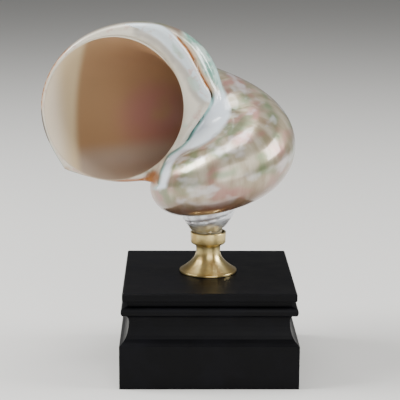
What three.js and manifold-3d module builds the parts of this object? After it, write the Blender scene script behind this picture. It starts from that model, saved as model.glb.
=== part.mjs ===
// A polished turban shell standing on its spire in a turned brass cup, on a square plinth of black wood.
// Millimetres, +Z up. The origin is the middle of the plinth's underside and the mouth of the shell faces -Y.
import * as THREE from 'three';
import { mergeVertices } from 'three/addons/utils/BufferGeometryUtils.js';
import Module from 'manifold-3d';

const wasm = await Module();
wasm.setup();

// Plinth: a square block with a moulded upper half.
const PLINTH_WIDTH = 76.2;
const PLINTH_HEIGHT = 41.6;
const STEP_HEIGHT = 18.8; // the plain lower block
const COVE_WIDTH = 68; // at the narrowest place of the cove above the block
const BEAD_WIDTH = 74.8; // the rounded moulding above the cove
const BEAD_HEIGHT = 3.6;
const GROOVE_WIDTH = 69.2; // at the bottom of the groove above the bead
const SLAB_WIDTH = 73.6; // the top slab
const SLAB_THICKNESS = 3.7;
const ARRIS = 0.5; // the worn edges
const CLEARANCE = 0.3; // between pieces that touch

// Brass cup, turned in one piece with its stud.
const FOOT_RADIUS = 12.65;
const FOOT_EDGE = 0.8; // height of the foot's upright edge
const NECK_RADIUS = 5.3;
const NECK_HEIGHT = 51.2; // of the narrowest place, above the ground
const CUP_RADIUS = 7.85;
const CUP_WALL = 0.85;
const CUP_UNDERSIDE = 54.1;
const CUP_TOP = 59.8;
const CUP_DEPTH = 3.9;
const STUD_RADIUS = 3;
const STUD_LENGTH = 12;

// Shell: a tube that grows along a spiral. All its sizes are scaled by exp(GROWTH * angle), and the angle runs
// back from 0 at the mouth. A place round the tube's section is an angle too: 0 points away from the coiling
// axis, a quarter turn points away from the tip.
const GROWTH = 0.148;
const TUBE_START = -10.2; // the angle at which the tube begins, inside the spire
const TUBE_FROM_AXIS = 28.8;
const TUBE_ABOVE_TIP = 63.6;
const TUBE_RADIUS = 33.6;
const TUBE_OVAL = 0.055;
const AXIS_GAP = 0.8; // the tube stops this far from the coiling axis
const COLUMN_RADIUS = 1.6; // the solid column along the axis
const COLUMN_TOP = 44;
const CALLUS_FILL = 8; // height of the callus that fills the base around the axis
const CALLUS_REACH = 12;
const LIP_FLARE = 0.1; // how far the lip opens beyond the spiral
const LIP_OVAL = 0.025;
const LIP_CORNER = 0.1;
const CORNER_PLACE = 5.62;
const CORNER_WIDTH = 0.22;
const FLARE_ANGLE = 0.4; // the flare and the corner fade away over this angle
const SPIRE_FROM = -6.8; // between these angles the tube narrows into the spire
const SPIRE_TO = -9.6;
const SPIRE_SHARE = 0.4;
const TIP_PLACE = new THREE.Vector3(1.3, 0.75, 57.15);
const LEAN = new THREE.Euler(0.079, -0.078, 0.181, 'YXZ');

// The spire above the cup: radius, height above the tip, shift to the mouth's side. Its upper part is hidden.
const SPIRE = [
  [5.4, 0.8, 0.6], [6.2, 2.4, 1.2], [6.6, 3.4, 1.7], [7.1, 4.3, 1.6], [8.2, 5.4, 1.3], [9.9, 7.7, 0.8],
  [11.8, 12, 0.3], [12.3, 16.5, 0], [12, 20, 0], [7.5, 27, 0], [1.5, 33, 0],
];

// The throat: the hollow of the tube, nearly round in section.
const THROAT_FROM_AXIS = 34.5;
const THROAT_ABOVE_TIP = 62.3;
const THROAT_RADIUS = 28.3;
const THROAT_OVAL = 0.028;
const THROAT_FLARE_SHIFT = 3.3;
const THROAT_FLARE = 2.3;
const THROAT_TURNS = 0.85;

// The mouth's face between the outer edge and the throat: on the side of the axis it carries a rounded
// inner lip, a groove and a strip of callus.
const COLLAR_DEPTH = 14;
const COLLAR_TAPER = 0.2;
const LIP_ROUNDING = 0.7;
const CALLUS_SLOPE = 4.5; // how far the callus falls back from the groove to the outer edge
const FLAP_ROUNDING = 3.2; // how much more the callus' outer edge is rounded than the lip
const GROOVE_DEPTH = 1.5;
// The groove's way over the face: place round the section, share of the wall from the outer edge.
const GROOVE_WAY = [
  [2.1, 0.14], [2.3, 0.28], [2.6, 0.42], [2.9, 0.45], [3.13, 0.3], [3.4, 0.5], [3.7, 0.66], [3.95, 0.86],
  [4.15, 0.8], [4.4, 0.4], [4.6, 0.14],
];
const INNER_LIP_RISE = 0.8;
const THIN_WALL = 4;
const THICK_WALL = 16;

// How finely the shell is divided.
const PLACES_ROUND = 36;
const STEPS_PER_TURN = 26;

// Turns one closed geometry into a solid, whichever way its faces wind.
function solidOf(geometry) {
  const bare = geometry.clone();
  bare.deleteAttribute('normal');
  bare.deleteAttribute('uv');
  const merged = mergeVertices(bare, 1e-4);
  const make = (triVerts) => new wasm.Manifold(
    new wasm.Mesh({ numProp: 3, vertProperties: merged.attributes.position.array, triVerts }),
  );
  const triangles = new Uint32Array(merged.index.array);
  const solid = make(triangles);
  return solid.volume() > 0 ? solid : make(triangles.toReversed());
}

// Turns a solid back into a geometry that can be drawn.
function geometryOf(solid) {
  const mesh = solid.getMesh();
  const geometry = new THREE.BufferGeometry();
  geometry.setAttribute('position', new THREE.BufferAttribute(mesh.vertProperties, 3));
  geometry.setIndex(new THREE.BufferAttribute(mesh.triVerts, 1));
  geometry.computeVertexNormals();
  return geometry;
}

function named(name, solid, colour, roughness, metalness) {
  const mesh = new THREE.Mesh(
    geometryOf(solid),
    new THREE.MeshStandardMaterial({ color: colour, roughness, metalness }),
  );
  mesh.name = name;
  return mesh;
}

// Turned solid with its axis along +Z; four segments give a square one with mitred corners.
function turned(path, segments, divisions) {
  const square = segments === 4;
  const points = path.getPoints(divisions).map((p) => new THREE.Vector2(p.x * (square ? Math.SQRT2 : 1), p.y));
  const geometry = new THREE.LatheGeometry(points, segments, square ? Math.PI / 4 : 0);
  return solidOf(geometry.rotateX(Math.PI / 2));
}

function upright(radius, bottom, top) {
  const geometry = new THREE.CylinderGeometry(radius, radius, top - bottom, 48);
  return solidOf(geometry.rotateX(Math.PI / 2).translate(0, 0, (top + bottom) / 2));
}

function plinth() {
  const half = PLINTH_WIDTH / 2;
  const cove = COVE_WIDTH / 2;
  const slab = SLAB_WIDTH / 2;
  const slabBottom = PLINTH_HEIGHT - SLAB_THICKNESS;
  const beadTop = slabBottom - 2.6;
  const beadBottom = beadTop - BEAD_HEIGHT;
  const beadDepth = 1.1;
  const beadRoot = BEAD_WIDTH / 2 - beadDepth;
  const path = new THREE.Path();
  path.moveTo(0, 0);
  path.lineTo(half, 0);
  path.lineTo(half, STEP_HEIGHT);
  path.lineTo(half - ARRIS, STEP_HEIGHT + ARRIS);
  path.quadraticCurveTo(cove + 0.2, STEP_HEIGHT + 3, cove, beadBottom - 3.2);
  path.quadraticCurveTo(cove, beadBottom, beadRoot, beadBottom);
  path.absellipse(beadRoot, beadBottom + BEAD_HEIGHT / 2, beadDepth, BEAD_HEIGHT / 2, -Math.PI / 2, Math.PI / 2);
  path.lineTo(GROOVE_WIDTH / 2, beadTop + 0.3);
  path.lineTo(GROOVE_WIDTH / 2, slabBottom - 0.2);
  path.lineTo(slab - 0.8, slabBottom);
  path.quadraticCurveTo(slab, slabBottom, slab, slabBottom + 1.2);
  path.lineTo(slab, PLINTH_HEIGHT - ARRIS);
  path.lineTo(slab - ARRIS, PLINTH_HEIGHT);
  path.lineTo(0, PLINTH_HEIGHT);
  const hole = upright(STUD_RADIUS + CLEARANCE, PLINTH_HEIGHT - STUD_LENGTH - 0.5, PLINTH_HEIGHT + 1);
  return turned(path, 4, 6).subtract(hole);
}

function brassCup() {
  const footBottom = PLINTH_HEIGHT + CLEARANCE;
  const footTop = footBottom + FOOT_EDGE;
  const path = new THREE.Path();
  path.moveTo(0, footBottom - STUD_LENGTH);
  path.lineTo(STUD_RADIUS, footBottom - STUD_LENGTH);
  path.lineTo(STUD_RADIUS, footBottom);
  path.lineTo(FOOT_RADIUS, footBottom);
  path.lineTo(FOOT_RADIUS, footTop - 0.3);
  path.lineTo(FOOT_RADIUS - 0.3, footTop);
  path.bezierCurveTo(8.8, footTop + 2.4, NECK_RADIUS, NECK_HEIGHT - 3.6, NECK_RADIUS, NECK_HEIGHT);
  path.quadraticCurveTo(NECK_RADIUS, CUP_UNDERSIDE - 0.5, NECK_RADIUS + 0.5, CUP_UNDERSIDE);
  path.quadraticCurveTo(CUP_RADIUS - 0.4, CUP_UNDERSIDE + 0.3, CUP_RADIUS - 0.1, CUP_UNDERSIDE + 1.2);
  path.lineTo(CUP_RADIUS, CUP_TOP - 0.3);
  path.lineTo(CUP_RADIUS - 0.3, CUP_TOP);
  path.lineTo(CUP_RADIUS - CUP_WALL, CUP_TOP);
  path.lineTo(CUP_RADIUS - CUP_WALL, CUP_TOP - CUP_DEPTH);
  path.lineTo(0, CUP_TOP - CUP_DEPTH);
  return turned(path, 40, 4);
}

const stand = new THREE.Matrix4().makeRotationFromEuler(LEAN).setPosition(TIP_PLACE);
const places = Array.from({ length: PLACES_ROUND }, (_, i) => (i / PLACES_ROUND) * 2 * Math.PI);

// Puts a flat section of the tube, x away from the axis and y along it, at its angle round the axis.
function placed(section, angle, ahead = () => 0) {
  const turn = Math.PI + angle;
  return section.map((p, i) => {
    const forward = ahead(i);
    const x = p.x * Math.cos(turn) - forward * Math.sin(turn);
    const y = p.x * Math.sin(turn) + forward * Math.cos(turn);
    return new THREE.Vector3(x, y, p.y).applyMatrix4(stand);
  });
}

// Section of the tube's outside; reach grows it by so many millimetres.
function outside(angle, reach = 0) {
  const fade = Math.exp(angle / FLARE_ANGLE);
  return places.map((place) => {
    const off = Math.abs(THREE.MathUtils.euclideanModulo(place - CORNER_PLACE + Math.PI, 2 * Math.PI) - Math.PI);
    const lip = LIP_FLARE + LIP_OVAL * Math.cos(2 * place)
      + LIP_CORNER * Math.exp(-off / CORNER_WIDTH);
    const narrow = 1 - SPIRE_SHARE * THREE.MathUtils.smoothstep(-angle, -SPIRE_FROM, -SPIRE_TO);
    const radius = TUBE_RADIUS * (1 + TUBE_OVAL * Math.cos(2 * place) + fade * lip) * narrow + reach;
    const x = TUBE_FROM_AXIS + radius * Math.cos(place);
    const filled = Math.sin(place) > 0 ? (1 - fade) * CALLUS_FILL * Math.exp(-((x / CALLUS_REACH) ** 2)) : 0;
    const y = TUBE_ABOVE_TIP + radius * Math.sin(place) + filled;
    return new THREE.Vector2(x, y).multiplyScalar(Math.exp(GROWTH * angle));
  });
}

// Section of the throat.
function throat(angle, reach = 0) {
  const fade = Math.exp(angle / FLARE_ANGLE);
  const middle = THROAT_FROM_AXIS + THROAT_FLARE_SHIFT * fade;
  return places.map((place) => {
    const radius = (THROAT_RADIUS + THROAT_FLARE * fade) * (1 - THROAT_OVAL * Math.cos(2 * place)) + reach;
    const x = middle + radius * Math.cos(place);
    const y = THROAT_ABOVE_TIP + radius * Math.sin(place);
    return new THREE.Vector2(x, y).multiplyScalar(Math.exp(GROWTH * angle));
  });
}

function keptOffAxis(section) {
  return section.map((p) => new THREE.Vector2(Math.max(p.x, AXIS_GAP), p.y));
}

// Solid through a row of sections, closed at both ends.
function skinned(sections) {
  const points = [];
  const faces = [];
  const count = sections[0].length;
  sections.forEach((section) => section.forEach((p) => points.push(p.x, p.y, p.z)));
  for (let row = 0; row + 1 < sections.length; row += 1) {
    for (let i = 0; i < count; i += 1) {
      const a = row * count + i;
      const b = row * count + ((i + 1) % count);
      faces.push(a, b, b + count, a, b + count, a + count);
    }
  }
  const cap = (row, flip) => {
    const section = sections[row];
    const middle = section.reduce((sum, p) => sum.add(p), new THREE.Vector3()).divideScalar(count);
    const centre = points.length / 3;
    points.push(middle.x, middle.y, middle.z);
    for (let i = 0; i < count; i += 1) {
      const a = row * count + i;
      const b = row * count + ((i + 1) % count);
      faces.push(...(flip ? [b, a, centre] : [a, b, centre]));
    }
  };
  cap(0, true);
  cap(sections.length - 1, false);
  const geometry = new THREE.BufferGeometry();
  geometry.setAttribute('position', new THREE.Float32BufferAttribute(points, 3));
  geometry.setIndex(faces);
  return solidOf(geometry);
}

// How thick the mouth's wall is at each place: 0 at the outer lip, 1 on the side of the axis.
function wallWeights() {
  const hollow = throat(0);
  return outside(0).map((p, i) => THREE.MathUtils.smoothstep(p.distanceTo(hollow[i]), THIN_WALL, THICK_WALL));
}

// Piece of the tube between two angles.
function tubePiece(start, end, steps) {
  const sections = [];
  for (let i = 0; i <= steps; i += 1) {
    const angle = THREE.MathUtils.lerp(start, end, i / steps);
    sections.push(placed(keptOffAxis(outside(angle)), angle));
  }
  return skinned(sections);
}

// Share of the wall at which the groove crosses it at a place round the section.
function grooveShare(place) {
  const next = GROOVE_WAY.findIndex(([there]) => there >= place);
  if (next < 1) return GROOVE_WAY[0][1];
  const [[from, low], [to, high]] = GROOVE_WAY.slice(next - 1, next + 1);
  return THREE.MathUtils.mapLinear(place, from, to, low, high);
}

// The mouth's face as rings from the outer edge to the throat's edge, set back by so many millimetres.
function faceRings(setBack) {
  const edge = outside(0, 0.15);
  const hollow = throat(0, -0.6);
  const weights = wallWeights();
  const grooves = places.map(grooveShare);
  const ring = (share, height) => {
    const section = edge.map((p, i) => p.clone().lerp(hollow[i], share(i)));
    return placed(section, 0, (i) => height(i) - setBack);
  };
  // Between the groove and the outer edge the face falls back towards the edge, which is rounded.
  const outwards = (part) => ring((i) => (1 - part) * grooves[i], (i) => {
    const wall = edge[i].distanceTo(hollow[i]);
    const rounding = Math.min(LIP_ROUNDING + FLAP_ROUNDING * weights[i], 0.6 * wall);
    const over = Math.max(1 - ((1 - part) * grooves[i] * wall) / rounding, 0);
    return -CALLUS_SLOPE * part * weights[i] - rounding * (1 - Math.sqrt(1 - over ** 2));
  });
  return [
    ...[1, 0.9, 0.7, 0.4, 0.15].map(outwards),
    ring((i) => grooves[i], (i) => -GROOVE_DEPTH * weights[i]),
    ring((i) => grooves[i] + 0.05, (i) => 0.1 * weights[i]),
    ring((i) => THREE.MathUtils.lerp(grooves[i], 1, 0.5), (i) => INNER_LIP_RISE * weights[i]),
    ring(() => 1, (i) => -1.5 * weights[i]),
  ];
}

// The mouth's face with a collar behind it that follows the tube's bend and narrows until it is inside the tube.
function mouthCollar() {
  const edge = outside(0, 0.15);
  const middle = new THREE.Vector2(TUBE_FROM_AXIS, TUBE_ABOVE_TIP);
  const weights = wallWeights();
  const back = (depth) => {
    const angle = -depth / TUBE_FROM_AXIS;
    const narrow = 1 - COLLAR_TAPER * (depth / COLLAR_DEPTH);
    const bend = new THREE.Vector2(Math.cos(angle), 1).multiplyScalar(Math.exp(GROWTH * angle));
    const section = edge.map((p) => p.clone().sub(middle).multiplyScalar(narrow).add(middle.clone().multiply(bend)));
    const fall = (CALLUS_SLOPE + FLAP_ROUNDING) * (1 - depth / COLLAR_DEPTH);
    return placed(section, 0, (i) => -depth - fall * weights[i]);
  };
  return skinned([back(COLLAR_DEPTH), back(COLLAR_DEPTH / 2), ...faceRings(0)]);
}

// The space ahead of the mouth's face, which keeps the tube behind the face.
function mouthSpace() {
  const weights = wallWeights();
  const around = outside(0, 6);
  const behind = (i) => -LIP_ROUNDING - 0.8 - (CALLUS_SLOPE + FLAP_ROUNDING) * weights[i];
  return skinned([placed(around, 0, () => 30), placed(around, 0, behind), ...faceRings(0.5)]);
}

// The spire above the cup as a stack of rings, with a core that fills it inside the body whorl.
function spire() {
  return skinned(SPIRE.map(([radius, height, shift]) => places.map((place) => {
    const x = radius * Math.cos(place) - 0.98 * shift;
    const y = radius * Math.sin(place) + 0.18 * shift;
    return new THREE.Vector3(x, y, height).applyMatrix4(stand);
  })));
}

function shell() {
  const joints = [0, -0.9, -3.9, -7, TUBE_START];
  const pieces = joints.slice(1).map((start, i) => {
    const steps = ((joints[i] - start) / (2 * Math.PI)) * STEPS_PER_TURN * (i < 3 ? 1 : 0.7);
    const piece = tubePiece(start, joints[i], Math.round(steps));
    return i === 0 ? piece.subtract(mouthSpace()) : piece;
  });
  const column = new THREE.CylinderGeometry(COLUMN_RADIUS, COLUMN_RADIUS, COLUMN_TOP, 12);
  column.rotateX(Math.PI / 2).translate(0, 0, COLUMN_TOP / 2).applyMatrix4(stand);
  const outer = wasm.Manifold.union([...pieces, mouthCollar(), solidOf(column), spire()]);

  const throatStart = -THROAT_TURNS * 2 * Math.PI;
  const throatSteps = Math.round(THROAT_TURNS * STEPS_PER_TURN * 0.8);
  const sections = [];
  for (let i = 0; i <= throatSteps; i += 1) {
    const angle = throatStart * (1 - i / throatSteps);
    sections.push(placed(throat(angle), angle));
  }
  sections.push(placed(throat(0, 0.6), 0, () => 6));

  const socket = new THREE.Path();
  socket.moveTo(0, 40);
  socket.lineTo(40, 40);
  socket.lineTo(40, CUP_TOP + CLEARANCE);
  socket.lineTo(CUP_RADIUS - CUP_WALL - CLEARANCE, CUP_TOP + CLEARANCE);
  socket.lineTo(CUP_RADIUS - CUP_WALL - CLEARANCE, CUP_TOP - CUP_DEPTH + CLEARANCE);
  socket.lineTo(0, CUP_TOP - CUP_DEPTH + CLEARANCE);
  // Where surfaces graze each other, crumbs come off: the shell is the largest body.
  const whole = outer.subtract(skinned(sections)).subtract(turned(socket, 48, 1)).simplify(0.02);
  return whole.decompose().reduce((a, b) => (a.volume() > b.volume() ? a : b));
}

const model = new THREE.Group();
model.add(named('plinth', plinth(), 0x16161a, 0.35, 0));
model.add(named('brass_cup', brassCup(), 0xa58a55, 0.35, 1));
model.add(named('shell', shell(), 0xe4ddd2, 0.2, 0));

export default model;
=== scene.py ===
"""Polished turban shell in a turned brass cup on a black moulded plinth, dressed over its frame.

Metres, +Z up. The shell's mouth faces -Y and the middle of the plinth's underside is the origin.
"""
import math
from functools import partial
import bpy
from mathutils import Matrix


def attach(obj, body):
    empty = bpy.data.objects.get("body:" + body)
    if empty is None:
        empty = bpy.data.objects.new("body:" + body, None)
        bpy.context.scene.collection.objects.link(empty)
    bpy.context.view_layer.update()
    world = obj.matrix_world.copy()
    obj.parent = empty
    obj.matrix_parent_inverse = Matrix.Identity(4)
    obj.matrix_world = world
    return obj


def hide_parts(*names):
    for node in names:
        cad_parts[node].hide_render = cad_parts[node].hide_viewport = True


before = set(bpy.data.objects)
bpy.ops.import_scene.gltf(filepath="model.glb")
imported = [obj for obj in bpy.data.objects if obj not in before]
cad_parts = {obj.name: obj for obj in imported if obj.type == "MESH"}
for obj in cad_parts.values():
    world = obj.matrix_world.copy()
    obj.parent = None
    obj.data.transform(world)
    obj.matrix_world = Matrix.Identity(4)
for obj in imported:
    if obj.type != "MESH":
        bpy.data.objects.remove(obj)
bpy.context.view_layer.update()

from types import SimpleNamespace

import bpy
import numpy as np
from bpy.props import FloatProperty, FloatVectorProperty, PointerProperty
from mathutils import Matrix, Vector

bl_info = {
    "name": "Turban shell on its stand",
    "version": (1, 0, 0),
    "blender": (4, 5, 0),
    "location": "3D View > Sidebar > Shell",
    "description": "Builds a polished turban shell in a brass cup on a black plinth",
    "category": "Add Mesh",
}

MM = 0.001
TURN = 2 * math.pi

# The brass cup, in millimetres: its underside and top above the ground, then its smaller sizes.
CUP_HEIGHTS = (41.9, 59.8)
FOOT_EDGE = 0.8
NECK_HEIGHT = 51.2
CUP_UNDERSIDE = 54.1
CUP_WALL = 0.85
CUP_DEPTH = 3.9
STUD_RADIUS = 3
STUD_LENGTH = 12
CUP_SEGMENTS = 128
# What the cup leaves free for the spire, in metres: below the cut's top it keeps within the well, down to
# the well's floor.
CUT_RADIUS = 0.04
CUT_HEIGHTS = (0.04, 0.0601)
WELL_RADIUS = 0.0067
WELL_HEIGHTS = (0.0562, 0.07)
SMOOTH_ANGLE = math.radians(35)

# How finely the shell is divided.
AROUND = 144
FACE_ROWS = 64
MOUTH_ROWS = 36
LAST_TURN_ROWS = 130
INNER_TURN_ROWS = 70
THROAT_ROWS = 90
COLLAR_ROWS = 9
SPACE_ROWS = 41
SPIRE_ROWS = 60

# The shell's tube, in millimetres and radians, as its frame has it.
TUBE_OVAL = 0.055
AXIS_GAP = 0.8
COLUMN_RADIUS = 1.6
COLUMN_TOP = 44
LIP_OVAL = 0.025
LIP_CORNER = 0.1
CORNER_PLACE = 5.62
CORNER_WIDTH = 0.22
FLARE_ANGLE = 0.4
CALLUS_FILL = 8
CALLUS_REACH = 12
TIP_PLACE = (1.3, 0.75, 57.15)
LEAN = (0.079, -0.078, 0.181)

# The throat.
THROAT_FROM_AXIS = 34.5
THROAT_ABOVE_TIP = 62.3
THROAT_RADIUS = 28.3
THROAT_OVAL = 0.028
THROAT_FLARE_SHIFT = 3.3
THROAT_FLARE = 2.3
THROAT_TURNS = 0.85
# The sweep runs on ahead of the mouth, a little wider.
THROAT_AHEAD = 6
THROAT_WIDER = 0.6

# Where the whorls before narrow into the spire, and the share that they lose.
SPIRE_FROM = -6.8
SPIRE_TO = -9.6
SPIRE_SHARE = 0.4
MOUTH_PIECE = -0.9
LAST_TURN_END = -0.97 * TURN
INNER_END = -10.2
# From here back the whorls count as standing behind the mouth.
BEHIND_FROM = -1.2

# The spire above the cup: radius, height above the tip, shift to the mouth's side. Its upper part is hidden.
SPIRE = (
    (5.4, 0.8, 0.6), (6.2, 2.4, 1.2), (6.6, 3.4, 1.7), (7.1, 4.3, 1.6), (8.2, 5.4, 1.3), (9.05, 6.5, 0.95),
    (9.9, 7.7, 0.8), (11.0, 9.5, 0.6), (11.8, 12.0, 0.3), (12.3, 15.0, 0.0), (12.3, 18.0, 0.0),
    (12.0, 20.0, 0.0), (10.5, 23.0, 0.0), (7.5, 27.0, 0.0), (4.5, 30.5, 0.0), (1.5, 33.0, 0.0),
)
SUTURE_HEIGHT = 14.0
# Depth, as a share of the radius, and width, in radians, of the swelling below the suture and of the suture.
SPIRE_SWELL = (0.02, 0.4)
SPIRE_SUTURE = (0.035, 0.25)
SWELL_PLACE = 0.7
# The way that the spire leans to: towards the mouth's side.
SPIRE_WAY = (-0.98, 0.18)
# Where the spire lies in the pattern of the nacre: turn, place round the section, share of it that is used.
SPIRE_TURN = -13.0
SPIRE_PLACE = 0.08
SPIRE_SPREAD = 0.3

# The mouth's face.
COLLAR_DEPTH = 14
COLLAR_TAPER = 0.2
CALLUS_SLOPE = 4
GROOVE_DEPTH = 1.5
INNER_LIP_RISE = 0.8
LIP_ROUNDING = 0.7
THIN_WALL = 4
THICK_WALL = 16
FLAP_ROUNDING = 3.2
CALLUS_BLEND = 3.0
CALLUS_SMOOTHING = 5
RIM_RISE = 0.05
RIM_OVERLAP = 0.4
# On the inner lip: height, distance from the fissure and width of a ridge, and of the dip beyond it.
LIP_RIDGE = (0.4, 2.2, 1.3)
LIP_DIP = (0.35, 5.2, 1.6)
# Height and steps of the flap's ripples, and half the groove's width on the flap and on the lip.
FLAP_RIPPLES = (0.12, 2.6)
GROOVE_WIDTHS = (0.8, 0.4)
# The space ahead of the mouth: how much wider than the lip, how far ahead it reaches, how deep it is cut.
SPACE_WIDER = 6
SPACE_AHEAD = 30
SPACE_UNDER = 0.5
# Where the whorl before is looked for ahead of the mouth's plane, and in what steps.
LOOK_FROM = 30.0
LOOK_TO = -14.0
LOOK_STEP = 0.25
NOT_FOUND = -40.0
NO_WHORL = 1e3
# A distance that stands for far from the fissure, and far outside any way.
FAR = 50.0
FARTHEST = 1e6

# The fissure between the inner lip and the callus, the callus' far edge on the whorl before, and the edge of
# the pale ridge beside the fissure, as points on the mouth's plane: distance from the axis, height above tip.
FISSURE = (
    (14.5, 96.5), (12.5, 94.0), (10.0, 92.0), (8.1, 89.4), (5.7, 86.4), (4.2, 84.1), (2.7, 80.9),
    (1.0, 77.3), (-0.5, 73.2), (-2.0, 69.5), (-3.7, 66.3), (-5.3, 63.9), (-4.7, 60.9), (-2.7, 57.6),
    (-0.7, 55.2), (1.0, 53.1), (3.1, 50.5), (5.3, 47.9), (6.8, 45.4), (9.0, 43.2), (11.8, 41.5),
    (14.5, 40.3), (16.4, 39.0), (18.1, 36.5), (19.4, 33.9), (20.5, 31.8), (21.3, 29.7), (21.8, 27.4),
)
CALLUS_EDGE = (
    (-6.5, 86.0), (-7.5, 79.0), (-8.5, 74.7), (-9.6, 69.5), (-10.2, 65.1), (-11.2, 60.6), (-12.3, 57.4),
    (-11.9, 53.9), (-10.2, 50.9), (-6.8, 46.9), (-2.6, 43.8), (2.0, 41.9), (6.5, 40.9), (10.6, 39.4),
    (12.9, 37.6), (14.9, 34.7), (16.5, 31.3), (17.7, 27.4), (18.5, 24.0),
)
RIDGE_EDGE = (
    (24.0, 95.0), (19.8, 93.0), (15.8, 89.2), (11.9, 84.9), (8.0, 79.8), (5.2, 75.6), (2.9, 71.4),
    (1.9, 67.4), (0.8, 64.2), (-1.5, 61.5), (-4.5, 60.0),
)
# Where the mouth is looked at from, in the object's frame: the callus' edges are laid out as seen from there.
FRONT = (-14.2, -600.0, 205.2)

# What nodes of a kind have in common here.
NODE_SETTINGS = {
    "MapRange": {"interpolation_type": "SMOOTHSTEP"},
    "Mix": {"data_type": "RGBA"},
}
# How fast the nacre's patches, streaks and growth lines change along the whorls: steps for each radian.
NACRE_STEPS = (1.1, 5.0, 55.0)
# The nacre's pink, green and silver patches: shift of the pattern, scale, detail, where a patch starts and is
# full, its colour and its strength.
NACRE_PATCHES = (
    ((0.0, 0.0, 0.0), 2.0, 1.5, 0.44, 0.68, "#a86c6a", 0.7),
    ((5.1, 3.7, 8.3), 2.2, 1.5, 0.47, 0.68, "#66825a", 0.7),
    ((9.7, 1.2, 4.4), 2.6, 2.0, 0.52, 0.7, "#d9d8da", 0.6),
)
# Angle and half the width of each crease across the whorls, in radians.
CREASES = ((-3.72, 0.016), (-3.4, 0.02), (-4.35, 0.014), (-2.2, 0.018), (-1.4, 0.016))
# The stained corners: place on the mouth's plane, reach, core, colour and strength.
STAINS = (
    ((24.0, 30.2), 5.2, 1.6, "#8f5420", 0.95),
    ((60.8, 38.0), 2.6, 0.6, "#a97c46", 0.6),
)
CALLUS_WHITE = "#e6f0fa"
FISSURE_TEAL = "#4d7f7c"

# Each light's name, place, size and energy, and the height that all of them aim at.
LIGHTS = (
    ("key", (-0.66, 0.0, 0.78), 0.45, 15.0),
    ("side", (0.9, -0.05, 0.5), 0.45, 10.0),
    ("top", (0.0, 0.05, 1.05), 0.4, 5.0),
    ("fill", (0.25, -0.95, 0.4), 0.8, 6.5),
)
LIGHT_AIM = 0.09
WORLD_STRENGTH = 0.3
# The camera: place in metres, then its turn to the right, tilt down and roll in degrees.
CAMERA_PLACE = (-0.0142, -0.6, 0.2052)
CAMERA_TURN = 1.0
CAMERA_TILT = 12.35
CAMERA_ROLL = 0.34
CAMERA_LENS = 126


def linear(code):
    """Turns an sRGB hex colour into linear values."""
    parts = [int(code[i:i + 2], 16) / 255 for i in (1, 3, 5)]
    return tuple(c / 12.92 if c <= 0.04045 else ((c + 0.055) / 1.055) ** 2.4 for c in parts)


def colour(code):
    return (*linear(code), 1.0)


def read(items, attribute, kind=int, width=1):
    """One attribute of all the items of a mesh, in one flat array."""
    found = np.empty(len(items) * width, kind)
    items.foreach_get(attribute, found)
    return found


def deselect():
    if bpy.context.object and bpy.context.object.mode != "OBJECT":
        bpy.ops.object.mode_set(mode="OBJECT")
    bpy.ops.object.select_all(action="DESELECT")


def activate(piece):
    deselect()
    piece.select_set(True)
    bpy.context.view_layer.objects.active = piece


def apply_modifier(piece, kind, **settings):
    activate(piece)
    modifier = piece.modifiers.new("step", kind)
    for key, value in settings.items():
        setattr(modifier, key, value)
    bpy.ops.object.modifier_apply(modifier=modifier.name)


def boolean(piece, tool, operation):
    """Joins or cuts a piece with a tool, which is then deleted."""
    apply_modifier(
        piece, "BOOLEAN", solver="MANIFOLD", operation=operation, object=tool, material_mode="TRANSFER")
    bpy.data.objects.remove(tool)


# The places round a section, as angles.
PLACES = np.arange(AROUND) * TURN / AROUND


def smoothstep(value, low, high):
    t = np.clip((value - low) / (high - low), 0, 1)
    return t * t * (3 - 2 * t)


def outside(settings, angle, reach=0.0):
    """Section of the tube's outside at an angle: distance from the axis and height above the tip."""
    fade = math.exp(angle / FLARE_ANGLE)
    off = np.abs((PLACES - CORNER_PLACE + math.pi) % TURN - math.pi)
    flare = settings.lip_flare + LIP_OVAL * np.cos(2 * PLACES) + LIP_CORNER * np.exp(-off / CORNER_WIDTH)
    narrow = 1 - SPIRE_SHARE * smoothstep(angle, SPIRE_FROM, SPIRE_TO)
    radius = settings.tube_radius / MM * (1 + TUBE_OVAL * np.cos(2 * PLACES) + fade * flare) * narrow + reach
    x = settings.tube_from_axis / MM + radius * np.cos(PLACES)
    fill = (1 - fade) * CALLUS_FILL * np.exp(-((x / CALLUS_REACH) ** 2)) * (np.sin(PLACES) > 0)
    z = settings.tube_above_tip / MM + radius * np.sin(PLACES) + fill
    return np.stack([x, z], -1) * math.exp(settings.growth * angle)


def throat(settings, angle, reach=0.0):
    """Section of the throat at an angle."""
    fade = math.exp(angle / FLARE_ANGLE)
    radius = (THROAT_RADIUS + THROAT_FLARE * fade) * (1 - THROAT_OVAL * np.cos(2 * PLACES)) + reach
    x = THROAT_FROM_AXIS + THROAT_FLARE_SHIFT * fade + radius * np.cos(PLACES)
    z = THROAT_ABOVE_TIP + radius * np.sin(PLACES)
    return np.stack([x, z], -1) * math.exp(settings.growth * angle)


def off_axis(section):
    """Keeps a section from crossing the coiling axis."""
    return np.stack([np.maximum(section[:, 0], AXIS_GAP), section[:, 1]], -1)


def placed(section, angle, ahead=0.0):
    """Points of a flat section at its angle round the axis, moved ahead of its plane."""
    turn = math.pi + angle
    ahead = np.broadcast_to(ahead, len(section))
    x = section[:, 0] * math.cos(turn) - ahead * math.sin(turn)
    y = section[:, 0] * math.sin(turn) + ahead * math.cos(turn)
    return np.stack([x, y, section[:, 1]], -1)


def stand_matrix():
    """From the shell's own frame, tip at the origin, to the object's frame."""
    rx, ry, rz = LEAN
    turn = Matrix.Rotation(ry, 4, "Y") @ Matrix.Rotation(rx, 4, "X") @ Matrix.Rotation(rz, 4, "Z")
    return Matrix.Translation(Vector(TIP_PLACE) * MM) @ turn @ Matrix.Scale(MM, 4)


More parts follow.
